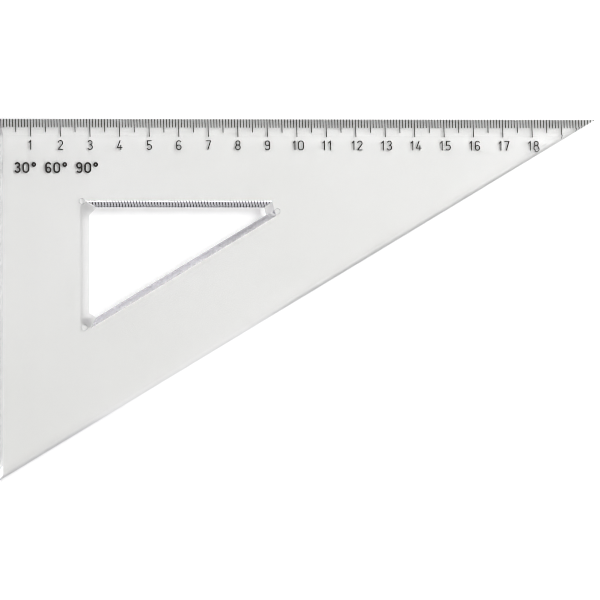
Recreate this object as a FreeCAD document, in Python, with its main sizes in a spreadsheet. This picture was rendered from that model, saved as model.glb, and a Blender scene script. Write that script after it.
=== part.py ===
"""Set square, 30/60/90 degrees: one clear moulded plate with a printed scale.

Millimetres, +Z up. The origin is the centre of the bounding box, on the surface that the
nibs stand on. The scale edge is the +Y side, the short leg the -X side, and the zero of
the scale is the right-angle corner. Outlines are dimensioned from that zero corner, with
x along the scale edge and y negative into the plate.
"""
import FreeCAD
import Part
import math
import os
import re
from collections import namedtuple

import Sketcher

SHEET = "sizes"

SIZES = {
    # plate
    "long_leg": (201.7, "length of the scale edge, corner to corner"),
    "sharp_angle": (30, "angle between the scale edge and the hypotenuse, degrees"),
    "thickness": (2.1, "plate thickness"),
    "land": (0.35, "height of the upright face left at each outer edge"),
    "scale_facet": (5.3, "width of the sloping facet along the scale"),
    "short_leg_bevel": (0.4, "width of the steep bevel on the short leg"),
    "hypotenuse_bevel": (1.8, "width of the bevel on the hypotenuse"),
    # window: an undercut triangle with cut-off corners, measured where it is narrowest, on top
    "window_from_short_leg": (29.4, "short leg to window"),
    "window_from_scale": (28.5, "scale edge to window"),
    "window_length": (64.3, "window along the scale, measured to its sharp corner"),
    "right_corner_cut": (2.6, "side length cut off the window's 90 degree corner"),
    "blunt_corner_cut": (3.0, "side length cut off the window's 60 degree corner"),
    "sharp_corner_cut": (5.0, "side length cut off the window's 30 degree corner"),
    "window_lip": (0.1, "height of the upright lip at the top of the window's wall"),
    "side_flare": (2.05, "how far the window's sides spread outwards by the underside"),
    "corner_flare": (3.5, "how far its cut-off corners spread outwards by the underside"),
    # nibs, moulded on the underside so that wet ink can't creep under the plate
    "nib_height": (0.4, "how far the nibs hold the plate off the paper"),
    "nib_radius": (0.95, "radius of a nib"),
    "nib_round": (0.25, "rounding of a nib's foot"),
    "nib_distance": (4.55, "from the middle of a cut-off window corner to the nib behind it"),
    # print, on the underside
    "print_thickness": (0.05, "thickness of the ink"),
    "scale_start": (0.2, "short leg to the middle of the scale's zero mark"),
    "graduation": (1.0, "one division of the scale"),
    "mark_width": (0.28, "width of a mark"),
    "unit_mark": (2.85, "length of a millimetre mark"),
    "half_mark": (4.5, "length of a five-millimetre mark"),
    "full_mark": (5.7, "length of a centimetre mark"),
    "line_height": (2.87, "height of a numeral, between the centres of its strokes"),
    "line_width": (0.31, "width of a numeral's strokes"),
    "baseline": (9.85, "scale edge to the centre of the numerals' lowest strokes"),
    "pair_shift": (0.34, "how far a two-digit numeral stands to the right of its mark"),
    "label_height": (3.0, "height of the angle label, between the centres of its strokes"),
    "label_width": (0.52, "width of the angle label's strokes"),
    "label_from_short_leg": (5.7, "short leg to the middle of the angle label's first digit"),
    "label_baseline": (17.2, "scale edge to the centre of the angle label's lowest strokes"),
    "clip_margin": (2.0, "how far the trimming cuts reach past the print"),
}

LAST_NUMERAL = 18
DIGIT_PITCH = 0.70      # distance between a numeral's digits, in numeral heights
LABEL_PITCH = 0.95      # distance between the angle label's characters, in label heights
GROUP_PITCH = 3.48      # distance between the angles of the label, in label heights

# The lettering is drawn with a pen of constant width. A stroke is a list of points and
# arcs, joined by straight lines where they don't meet. Lengths are in numeral heights.
Arc = namedtuple("Arc", "x y radius start end")

STROKES = {
    "0": [
        [Arc(0, 0.70, 0.30, 90, 180), Arc(0, 0.30, 0.30, 180, 270)],
        [Arc(0, 0.70, 0.30, 90, 0), Arc(0, 0.30, 0.30, 0, -90)],
    ],
    "1": [[(-0.20, 0.78), (0, 1), (0, 0)]],
    "2": [[Arc(0, 0.74, 0.26, 165, -40), (-0.25, 0), (0.26, 0)]],
    "3": [[Arc(0, 0.77, 0.23, 150, -90)], [Arc(0, 0.27, 0.27, 90, -150)]],
    "4": [
        [(0.04, 1), (-0.26, 0.22), (0.14, 0.22), (0.14, 0)],
        [(0.27, 0.22), (0.14, 0.22), (0.14, 0.48)],
    ],
    "5": [[(0.22, 1), (-0.19, 1), Arc(-0.01, 0.29, 0.28, 130, -145)]],
    "6": [
        [Arc(0, 0.74, 0.26, 35, 180), Arc(0, 0.26, 0.26, 180, 360)],
        [Arc(0, 0.26, 0.26, 0, 180)],
    ],
    "7": [[(-0.25, 1), (0.25, 1), (-0.06, 0)]],
    "8": [
        [Arc(0, 0.765, 0.235, 90, 270), Arc(0, 0.265, 0.265, 90, -90)],
        [Arc(0, 0.765, 0.235, 90, -90), Arc(0, 0.265, 0.265, 90, 270)],
    ],
    "9": [
        [Arc(0, 0.74, 0.26, 0, 180)],
        [Arc(0, 0.74, 0.26, 180, 360), Arc(0, 0.26, 0.26, 0, -145)],
    ],
    "°": [[Arc(-0.06, 0.83, 0.17, 0, 180)], [Arc(-0.06, 0.83, 0.17, 180, 360)]],
}


def make_sheet(doc):
    """The spreadsheet of driving dimensions: name, value and meaning on each row."""
    sheet = doc.addObject("Spreadsheet::Sheet", SHEET)
    for row, (name, (size, meaning)) in enumerate(SIZES.items(), start=1):
        sheet.set(f"A{row}", name)
        sheet.set(f"B{row}", str(size))
        sheet.set(f"C{row}", meaning)
        sheet.setAlias(f"B{row}", name)
    doc.recompute()
    return sheet


def bound(formula):
    """A formula in the sheet's own names, as an expression for any object."""
    return re.sub("[a-z_]+", lambda word: SHEET + "." + word[0] if word[0] in SIZES else word[0],
                  formula)


def number(obj, formula):
    """What a formula comes to now."""
    result = obj.evalExpression(bound(formula))
    return float(getattr(result, "Value", result))


def bind(obj, prop, formula):
    obj.setExpression(prop, bound(formula))


def place(node, x, y, z="0"):
    """Puts a node, modelled from the zero corner, into the part's frame."""
    bind(node, "Placement.Base.x", f"{x} - long_leg / 2")
    bind(node, "Placement.Base.y", f"{y} + long_leg * tan(sharp_angle * 1deg) / 2")
    bind(node, "Placement.Base.z", z)


def new_body(doc, name):
    body = doc.addObject("PartDesign::Body", name)
    body.Label = name
    body.AllowCompound = True
    return body


def flat_sketch(body, name, height="0"):
    """An empty sketch on the body's XY plane, raised to a height."""
    sketch = body.newObject("Sketcher::SketchObject", name)
    plane = next(item for item in body.Origin.OriginFeatures if item.Role == "XY_Plane")
    sketch.AttachmentSupport = (plane, [""])
    sketch.MapMode = "FlatFace"
    bind(sketch, "AttachmentOffset.Base.z", height)
    return sketch


def fix_point(sketch, geometry, point, x, y):
    """Dimensions one point of a sketch from the sketch's origin."""
    for kind, axis, formula in (("DistanceX", -2, x), ("DistanceY", -1, y)):
        if formula == "0":
            sketch.addConstraint(Sketcher.Constraint("PointOnObject", geometry, point, axis))
            continue
        size = number(sketch, formula)
        constraint = Sketcher.Constraint(kind, -1, 1, geometry, point, size)
        index = sketch.addConstraint(constraint)
        bind(sketch, f"Constraints[{index}]", formula)


def add_polygon(sketch, corners):
    """A closed outline through corners, each given as an (x, y) pair of formulas."""
    points = [FreeCAD.Vector(number(sketch, x), number(sketch, y), 0) for x, y in corners]
    first = sketch.GeometryCount
    sides = [sketch.addGeometry(Part.LineSegment(start, end))
             for start, end in zip(points, points[1:] + points[:1])]
    for side, (x, y) in zip(sides, corners):
        following = side + 1 if side < sides[-1] else first
        sketch.addConstraint(Sketcher.Constraint("Coincident", side, 2, following, 1))
        fix_point(sketch, side, 1, x, y)


def add_pad(body, sketch, name, length):
    pad = body.newObject("PartDesign::Pad", name)
    pad.Profile = sketch
    bind(pad, "Length", length)
    return pad


def inset_triangle(scale_inset, short_leg_inset, hypotenuse_inset):
    """The plate's outline, with each of its sides drawn in."""
    slope = "tan(sharp_angle * 1deg)"
    rise = f"{hypotenuse_inset} / cos(sharp_angle * 1deg)"
    return [
        (short_leg_inset, f"0 - {scale_inset}"),
        (f"long_leg - ( {scale_inset} + {rise} ) / {slope}", f"0 - {scale_inset}"),
        (short_leg_inset, f"{rise} - ( long_leg - {short_leg_inset} ) * {slope}"),
    ]


def cut_off(corner_cut, half_angle, side_shift, cut_shift):
    """The side length cut off a corner whose sides and whose cut have moved outwards."""
    return (f"( {corner_cut} + ( {side_shift} / sin({half_angle}) - {cut_shift} )"
            f" / cos({half_angle}) )")


def window_corners(side_shift="0", cut_shift="0"):
    """The window: a triangle like the plate's, with its corners cut off.

    Its sides and its cut-off corners are moved outwards from where they are on top.
    """
    left = f"( window_from_short_leg - {side_shift} )"
    top = f"( window_from_scale - {side_shift} )"
    length = f"( window_length + {side_shift} + {side_shift} / tan(sharp_angle * 0.5deg) )"
    foot = f"( {top} + {length} * tan(sharp_angle * 1deg) )"
    cosine, sine = "cos(sharp_angle * 1deg)", "sin(sharp_angle * 1deg)"
    right_cut = cut_off("right_corner_cut", "45deg", side_shift, cut_shift)
    sharp_cut = cut_off("sharp_corner_cut", "sharp_angle * 0.5deg", side_shift, cut_shift)
    blunt_cut = cut_off("blunt_corner_cut", "( 90 - sharp_angle ) * 0.5deg", side_shift, cut_shift)
    return [
        (f"{left} + {right_cut}", f"0 - {top}"),
        (f"{left} + {length} - {sharp_cut}", f"0 - {top}"),
        (f"{left} + {length} - {sharp_cut} * {cosine}", f"0 - {top} - {sharp_cut} * {sine}"),
        (f"{left} + {blunt_cut} * {cosine}", f"{blunt_cut} * {sine} - {foot}"),
        (left, f"{blunt_cut} - {foot}"),
        (left, f"0 - {top} - {right_cut}"),
    ]


def nib_centres():
    """One behind each cut-off corner of the window: straight along the scale from the sharp
    corner, and on the line that halves each of the other two.
    """
    corners = window_corners()
    cuts = [
        (corners[5], corners[0], "135deg"),
        (corners[1], corners[2], "0deg"),
        (corners[3], corners[4], "( 450 + sharp_angle ) * 0.5deg"),
    ]
    return [
        (f"( {start[0]} + {end[0]} ) / 2 + nib_distance * cos({direction})",
         f"( {start[1]} + {end[1]} ) / 2 + nib_distance * sin({direction})")
        for start, end, direction in cuts
    ]


def add_slab(doc, body):
    """The plate without its window: an upright land all round, then facets up to the top."""
    outline = flat_sketch(body, "outline", "nib_height")
    add_polygon(outline, inset_triangle("0", "0", "0"))
    add_pad(body, outline, "upright_edge", "land")

    facet_foot = flat_sketch(body, "facet_foot", "nib_height + land")
    add_polygon(facet_foot, inset_triangle("0", "0", "0"))
    facet_top = flat_sketch(body, "facet_top", "nib_height + thickness")
    insets = ("scale_facet", "short_leg_bevel", "hypotenuse_bevel")
    add_polygon(facet_top, inset_triangle(*insets))
    doc.recompute()
    facets = body.newObject("PartDesign::AdditiveLoft", "facets")
    facets.Profile = facet_foot
    facets.Sections = [facet_top]
    facets.Ruled = True
    doc.recompute()


def cut_window(doc, body):
    """The window, whose wall leans outwards from an upright lip down to the underside."""
    solid_volume = body.Tip.Shape.Volume
    foot = flat_sketch(body, "window_foot", "nib_height")
    add_polygon(foot, window_corners("side_flare", "corner_flare"))
    opening = flat_sketch(body, "window_opening", "nib_height + thickness - window_lip")
    add_polygon(opening, window_corners())
    doc.recompute()
    wall = body.newObject("PartDesign::SubtractiveLoft", "window_wall")
    wall.Profile = foot
    wall.Sections = [opening]
    wall.Ruled = True
    doc.recompute()
    undercut_volume = wall.Shape.Volume
    lip = body.newObject("PartDesign::Pocket", "window_lip")
    lip.Profile = opening
    lip.Reversed = True
    bind(lip, "Length", "window_lip")
    doc.recompute()
    if not lip.Shape.Volume < undercut_volume < solid_volume:
        raise RuntimeError("the window isn't cut")


def add_nibs(doc, body):
    """The round nibs under the plate, with their feet rounded."""
    feet = flat_sketch(body, "nib_feet")
    for x, y in nib_centres():
        centre = FreeCAD.Vector(number(feet, x), number(feet, y), 0)
        circle = feet.addGeometry(Part.Circle(centre, FreeCAD.Vector(0, 0, 1), 1))
        fix_point(feet, circle, 3, x, y)
        radius = feet.addConstraint(Sketcher.Constraint("Radius", circle, 1))
        bind(feet, f"Constraints[{radius}]", "nib_radius")
    doc.recompute()
    nibs = add_pad(body, feet, "nibs", "nib_height")
    doc.recompute()
    rims = [f"Edge{index}" for index, edge in enumerate(nibs.Shape.Edges, start=1)
            if edge.BoundBox.ZMax < 1e-6]
    rounded = body.newObject("PartDesign::Fillet", "rounded_nibs")
    rounded.Base = (nibs, rims)
    bind(rounded, "Radius", "nib_round")
    body.Tip = rounded


def make_plate(doc):
    """The moulding: facets on its top, a window that flares downwards, nibs underneath."""
    body = new_body(doc, "plate")
    add_slab(doc, body)
    cut_window(doc, body)
    add_nibs(doc, body)
    place(body, "0", "0")
    return body


def make_marks(doc, name, steps, period, mark_length):
    """Marks at the given steps of every period, trimmed to the plate's hypotenuse."""
    body = new_body(doc, name)
    bottom = "nib_height - print_thickness"

    first_marks = flat_sketch(body, f"{name}_first", bottom)
    for step in steps:
        left = f"scale_start + {step} * graduation - mark_width / 2"
        right = f"scale_start + {step} * graduation + mark_width / 2"
        add_polygon(first_marks, [(left, "0"), (right, "0"),
                                  (right, f"0 - {mark_length}"), (left, f"0 - {mark_length}")])
    doc.recompute()
    first = add_pad(body, first_marks, f"{name}_ink", "print_thickness")
    doc.recompute()

    row = body.newObject("PartDesign::LinearPattern", f"{name}_row")
    row.Originals = [first]
    row.Direction = (first_marks, ["H_Axis"])
    row.Mode = "Spacing"
    bind(row, "Offset", f"{period} * graduation")
    bind(row, "Occurrences",
         f"floor( ( long_leg - scale_start ) / ( {period} * graduation ) ) + 1")
    body.Tip = row
    doc.recompute()

    depth = "( full_mark + clip_margin )"
    slope = "tan(sharp_angle * 1deg)"
    beyond = "long_leg + 4 * clip_margin"
    waste = flat_sketch(body, f"{name}_waste", bottom)
    add_polygon(waste, [(f"long_leg + clip_margin / {slope}", "clip_margin"),
                        (beyond, "clip_margin"), (beyond, f"0 - {depth}"),
                        (f"long_leg - {depth} / {slope}", f"0 - {depth}")])
    doc.recompute()
    untrimmed_volume = row.Shape.Volume
    trim = body.newObject("PartDesign::Pocket", f"{name}_trim")
    trim.Profile = waste
    trim.Reversed = True
    bind(trim, "Length", "print_thickness")
    doc.recompute()
    if trim.Shape.Volume >= untrimmed_volume:
        raise RuntimeError(f"{name} isn't trimmed to the hypotenuse")
    body.Tip = trim
    place(body, "0", "0")
    return body


def pen_path(stroke, shift):
    """The lines and arcs of one stroke, moved sideways."""
    pieces = []
    here = None
    for item in stroke:
        if isinstance(item, Arc):
            centre = FreeCAD.Vector(item.x + shift, item.y, 0)
            start, end = math.radians(item.start), math.radians(item.end)
            circle = Part.Circle(centre, FreeCAD.Vector(0, 0, 1), item.radius)
            there, leave = circle.value(start), circle.value(end)
            curve = Part.ArcOfCircle(circle, min(start, end), max(start, end))
        else:
            there = FreeCAD.Vector(item[0] + shift, item[1], 0)
            leave = there
            curve = None
        if here is not None and here.distanceToPoint(there) > 1e-6:
            pieces.append(Part.LineSegment(here, there))
        if curve is not None:
            pieces.append(curve)
        here = leave
    return pieces


def make_stroke(doc, name, stroke, shift, height, width):
    """One pen stroke: a centre line, enlarged, widened to the pen and given thickness."""
    centre_line = doc.addObject("Sketcher::SketchObject", f"{name}_line")
    centre_line.addGeometry(pen_path(stroke, shift), False)

    enlarged = doc.addObject("Part::Scale", f"{name}_scaled")
    enlarged.Base = centre_line
    enlarged.Uniform = True
    bind(enlarged, "UniformScale", height)

    outline = doc.addObject("Part::Offset2D", f"{name}_outline")
    outline.Source = enlarged
    outline.Mode = "Pipe"
    outline.Join = "Arc"
    bind(outline, "Value", f"{width} / 2")

    ink = doc.addObject("Part::Extrusion", f"{name}_ink")
    ink.Base = outline
    ink.DirMode = "Custom"
    ink.Dir = FreeCAD.Vector(0, 0, 1)
    ink.Solid = True
    bind(ink, "LengthFwd", "print_thickness")
    return ink


def make_lettering(doc, name, text, shifts, height, width):
    """A row of characters as one node, with its origin on the baseline."""
    inks = []
    for position, (character, shift) in enumerate(zip(text, shifts)):
        for index, stroke in enumerate(STROKES[character]):
            stroke_name = f"{name}_{position}_{index}"
            inks.append(make_stroke(doc, stroke_name, stroke, shift, height, width))
    if len(inks) == 1:
        node = inks[0]
    else:
        node = doc.addObject("Part::MultiFuse", name)
        node.Shapes = inks
    node.Label = name
    return node


def make_numeral(doc, count):
    """The number under one centimetre mark, with its digits side by side."""
    text = str(count)
    middle = (len(text) - 1) / 2
    shifts = [(position - middle) * DIGIT_PITCH for position in range(len(text))]
    node = make_lettering(doc, f"numeral_{count}", text, shifts, "line_height", "line_width")
    pair_shift = " + pair_shift" if len(text) > 1 else ""
    place(node, f"scale_start + {count} * 10 * graduation{pair_shift}", "0 - baseline",
          "nib_height - print_thickness")
    return node


def make_angle_label(doc):
    """The square's three angles, printed under the scale near the zero corner."""
    text = ""
    shifts = []
    for group, angle in enumerate(("30°", "60°", "90°")):
        text += angle
        shifts += [group * GROUP_PITCH + place_in_group * LABEL_PITCH
                   for place_in_group in range(len(angle))]
    node = make_lettering(doc, "angle_label", text, shifts, "label_height", "label_width")
    place(node, "label_from_short_leg", "0 - label_baseline", "nib_height - print_thickness")
    return node


def check(doc, nodes):
    """Stops on any failed object, and on any node without a sound shape."""
    for obj in doc.Objects:
        if "Invalid" in obj.State or "Error" in obj.State:
            raise RuntimeError(f"{obj.Name} failed: {obj.State}")
    for node in nodes:
        if node.Shape.isNull() or not node.Shape.isValid() or not node.Shape.Solids:
            raise RuntimeError(f"{node.Label} has no sound shape")


def main():
    doc = FreeCAD.newDocument("set_square")
    make_sheet(doc)
    nodes = [
        make_plate(doc),
        make_marks(doc, "millimetre_marks", (1, 2, 3, 4), 5, "unit_mark"),
        make_marks(doc, "half_centimetre_marks", (5,), 10, "half_mark"),
        make_marks(doc, "centimetre_marks", (0,), 10, "full_mark"),
    ]
    nodes += [make_numeral(doc, count) for count in range(1, LAST_NUMERAL + 1)]
    nodes.append(make_angle_label(doc))
    doc.recompute()
    check(doc, nodes)

    os.makedirs("parts", exist_ok=True)
    for node in nodes:
        node.Shape.exportStep(f"parts/{node.Label}.step")
        print(f"{node.Label}: {len(node.Shape.Solids)} solids, {node.Shape.Volume:.3f} mm3")


main()
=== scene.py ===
"""Looks for the clear set square: moulded acrylic, screen-printed ink and a white studio table."""
import math

import bpy
from mathutils import Matrix, Vector

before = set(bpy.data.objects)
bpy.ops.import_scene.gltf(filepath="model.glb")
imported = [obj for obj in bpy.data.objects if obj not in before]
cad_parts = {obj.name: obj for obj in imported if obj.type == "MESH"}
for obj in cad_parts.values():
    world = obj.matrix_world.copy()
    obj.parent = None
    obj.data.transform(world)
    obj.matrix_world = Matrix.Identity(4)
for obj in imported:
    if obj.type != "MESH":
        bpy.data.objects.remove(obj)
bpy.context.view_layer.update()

PLATE = "plate"
VIEW_YAW = math.radians(17.5)       # the camera stands this far round to the left of straight above
VIEW_DISTANCE = 9.0                 # far off, so that the picture is all but free of perspective
VIEW_WIDTH = 0.19405                # what the picture spans, in metres
VIEW_CENTRE = (0.00026, -0.00019, 0.0015)   # the point that the camera looks at
FLOOR_SIZE = 6.0
TABLE_GAP = 0.0001                  # keeps the table clear of the nibs' feet
INK_BITE = 0.00002                  # how far the ink's faces stand out of the CAD's
INK_GRAIN = 0.00002                 # how deep the grain of the ink looks
ACRYLIC_INDEX = 1.49                # refractive index
SKY_STRENGTH = 0.76
LIT_FROM = (0.86, 0.51, 0.0)        # the side of the studio that is brighter
SOFTBOX_SIZE = 0.8
SOFTBOX_POWER = 6.9                 # watts
SOFTBOX_PLACE = (0.58, 0.32, 0.63)  # beyond the scale's right end, 0.9 m away


def new_material(name):
    """An empty node material: the material, its nodes, its links and its shader."""
    material = bpy.data.materials.new(name)
    material.use_nodes = True
    tree = material.node_tree
    return material, tree.nodes, tree.links, tree.nodes["Principled BSDF"]


def noise(nodes, links, coordinates, scale, detail=3.0, stretch=(1.0, 1.0, 1.0)):
    """Noise in the object's own space, its grain stretched along one axis if need be."""
    mapping = nodes.new("ShaderNodeMapping")
    mapping.inputs["Scale"].default_value = stretch
    links.new(coordinates.outputs["Object"], mapping.inputs["Vector"])
    texture = nodes.new("ShaderNodeTexNoise")
    texture.inputs["Scale"].default_value = scale
    texture.inputs["Detail"].default_value = detail
    links.new(mapping.outputs["Vector"], texture.inputs["Vector"])
    return texture.outputs["Fac"]


def ramp(nodes, links, factor, *stops):
    """A colour ramp through stops, each a position and a colour."""
    node = nodes.new("ShaderNodeValToRGB")
    elements = node.color_ramp.elements
    for position, _ in stops[2:]:
        elements.new(position)
    for element, (position, color) in zip(elements, stops):
        element.position = position
        element.color = (*color, 1.0)
    links.new(factor, node.inputs["Fac"])
    return node.outputs["Color"]


def grey(value):
    return (value, value, value)


def clear_acrylic():
    """Clear moulding plastic with a polished skin, hairline scratches and faint flow marks."""
    material, nodes, links, shader = new_material("clear_acrylic")
    shader.inputs["IOR"].default_value = ACRYLIC_INDEX
    shader.inputs["Transmission Weight"].default_value = 1.0
    coordinates = nodes.new("ShaderNodeTexCoord")

    cloud = noise(nodes, links, coordinates, 14.0, 2.0)
    tint = ramp(nodes, links, cloud, (0.35, (0.862, 0.863, 0.853)), (0.65, (0.876, 0.876, 0.87)))
    links.new(tint, shader.inputs["Base Color"])

    depth = nodes.new("ShaderNodeVolumeAbsorption")
    depth.inputs["Color"].default_value = (0.35, 0.3, 0.5, 1)
    depth.inputs["Density"].default_value = 8.0
    links.new(depth.outputs["Volume"], nodes["Material Output"].inputs["Volume"])

    scratch = noise(nodes, links, coordinates, 900.0, 2.0, (1.0, 0.03, 1.0))
    haze = ramp(nodes, links, scratch, (0.7, grey(0.0)), (0.78, grey(0.06)))
    links.new(haze, shader.inputs["Roughness"])
    return material


def printing_ink():
    """Black screen ink: slightly uneven in density, satin, with a fine grain."""
    material, nodes, links, shader = new_material("printing_ink")
    coordinates = nodes.new("ShaderNodeTexCoord")
    density = noise(nodes, links, coordinates, 2500.0)
    black = ramp(nodes, links, density, (0.35, (0.012, 0.009, 0.008)), (0.7, (0.036, 0.03, 0.027)))
    links.new(black, shader.inputs["Base Color"])
    satin = ramp(nodes, links, density, (0.3, grey(0.4)), (0.7, grey(0.6)))
    links.new(satin, shader.inputs["Roughness"])
    shader.inputs["Specular IOR Level"].default_value = 0.15
    bump = nodes.new("ShaderNodeBump")
    bump.inputs["Strength"].default_value = 0.2
    bump.inputs["Distance"].default_value = INK_GRAIN
    links.new(density, bump.inputs["Height"])
    links.new(bump.outputs["Normal"], shader.inputs["Normal"])
    return material


def white_table():
    """Matt white board with a faint fibre."""
    material, nodes, links, shader = new_material("white_table")
    coordinates = nodes.new("ShaderNodeTexCoord")
    fibre = noise(nodes, links, coordinates, 300.0)
    paper = ramp(nodes, links, fibre, (0.3, grey(0.89)), (0.7, grey(0.91)))
    links.new(paper, shader.inputs["Base Color"])
    shader.inputs["Roughness"].default_value = 0.95
    shader.inputs["Specular IOR Level"].default_value = 0.0
    return material


def key_ink(node):
    """Swells the ink a little into the plastic, so that it wets it and no air lies between."""
    bite = node.modifiers.new("bite", "DISPLACE")
    bite.direction = "NORMAL"
    bite.mid_level = 0.0
    bite.strength = INK_BITE


def dress_nodes():
    acrylic, ink = clear_acrylic(), printing_ink()
    for name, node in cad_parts.items():
        node.data.materials.clear()
        node.data.materials.append(acrylic if name == PLATE else ink)
        if name != PLATE:
            key_ink(node)


def make_floor():
    bpy.ops.mesh.primitive_plane_add(size=FLOOR_SIZE, location=(0, 0, -TABLE_GAP))
    floor = bpy.context.object
    floor.name = "floor"
    floor.data.materials.append(white_table())


def light_world():
    """A soft white dome, dimmer overhead and at the horizon, and dimmer on one side."""
    world = bpy.data.worlds.new("studio")
    bpy.context.scene.world = world
    world.use_nodes = True
    nodes, links = world.node_tree.nodes, world.node_tree.links
    coordinates = nodes.new("ShaderNodeTexCoord")
    split = nodes.new("ShaderNodeSeparateXYZ")
    links.new(coordinates.outputs["Generated"], split.inputs[0])
    height = ramp(nodes, links, split.outputs["Z"], (0.0, (0.3, 0.3, 0.33)), (0.48, grey(1.24)),
                  (0.72, (2.3, 2.3, 2.27)), (0.87, grey(0.65)), (1.0, grey(0.31)))

    lean = nodes.new("ShaderNodeVectorMath")
    lean.operation = "DOT_PRODUCT"
    lean.inputs[1].default_value = LIT_FROM
    links.new(coordinates.outputs["Generated"], lean.inputs[0])
    span = nodes.new("ShaderNodeMapRange")
    span.inputs["From Min"].default_value = -1.0
    links.new(lean.outputs["Value"], span.inputs["Value"])
    side = ramp(nodes, links, span.outputs["Result"], (0.0, grey(0.3)), (1.0, grey(1.5)))

    sky = nodes.new("ShaderNodeVectorMath")
    sky.operation = "MULTIPLY"
    links.new(height, sky.inputs[0])
    links.new(side, sky.inputs[1])
    background = nodes["Background"]
    links.new(sky.outputs["Vector"], background.inputs["Color"])
    background.inputs["Strength"].default_value = SKY_STRENGTH


def add_softbox():
    """A large soft light beyond the far right corner, with no reflection to glare off the scale."""
    data = bpy.data.lights.new("softbox", "AREA")
    data.size = SOFTBOX_SIZE
    data.energy = SOFTBOX_POWER
    softbox = bpy.data.objects.new("softbox", data)
    bpy.context.scene.collection.objects.link(softbox)
    softbox.location = SOFTBOX_PLACE
    softbox.rotation_euler = Vector(SOFTBOX_PLACE).to_track_quat("Z", "Y").to_euler()
    softbox.visible_glossy = False


def place_camera():
    data = bpy.data.cameras.new("camera")
    camera = bpy.data.objects.new("camera", data)
    bpy.context.scene.collection.objects.link(camera)
    bpy.context.scene.camera = camera
    away = Vector((-math.sin(VIEW_YAW), 0, math.cos(VIEW_YAW)))
    right = Vector((math.cos(VIEW_YAW), 0, math.sin(VIEW_YAW)))
    turn = Matrix((right, Vector((0, 1, 0)), away)).transposed().to_4x4()
    camera.matrix_world = Matrix.Translation(Vector(VIEW_CENTRE) + away * VIEW_DISTANCE) @ turn
    data.lens = data.sensor_width * VIEW_DISTANCE / VIEW_WIDTH
    data.clip_end = 2 * VIEW_DISTANCE


def settle_render():
    """Enough bounces, and no blurring, for light to find its way through the plate's wedges."""
    scene = bpy.context.scene
    scene.view_settings.view_transform = "Standard"
    scene.cycles.max_bounces = 64
    scene.cycles.transmission_bounces = 64
    scene.cycles.glossy_bounces = 32
    scene.cycles.diffuse_bounces = 6
    scene.cycles.filter_width = 0.9
    scene.cycles.blur_glossy = 0.0


dress_nodes()
make_floor()
light_world()
add_softbox()
place_camera()
settle_render()
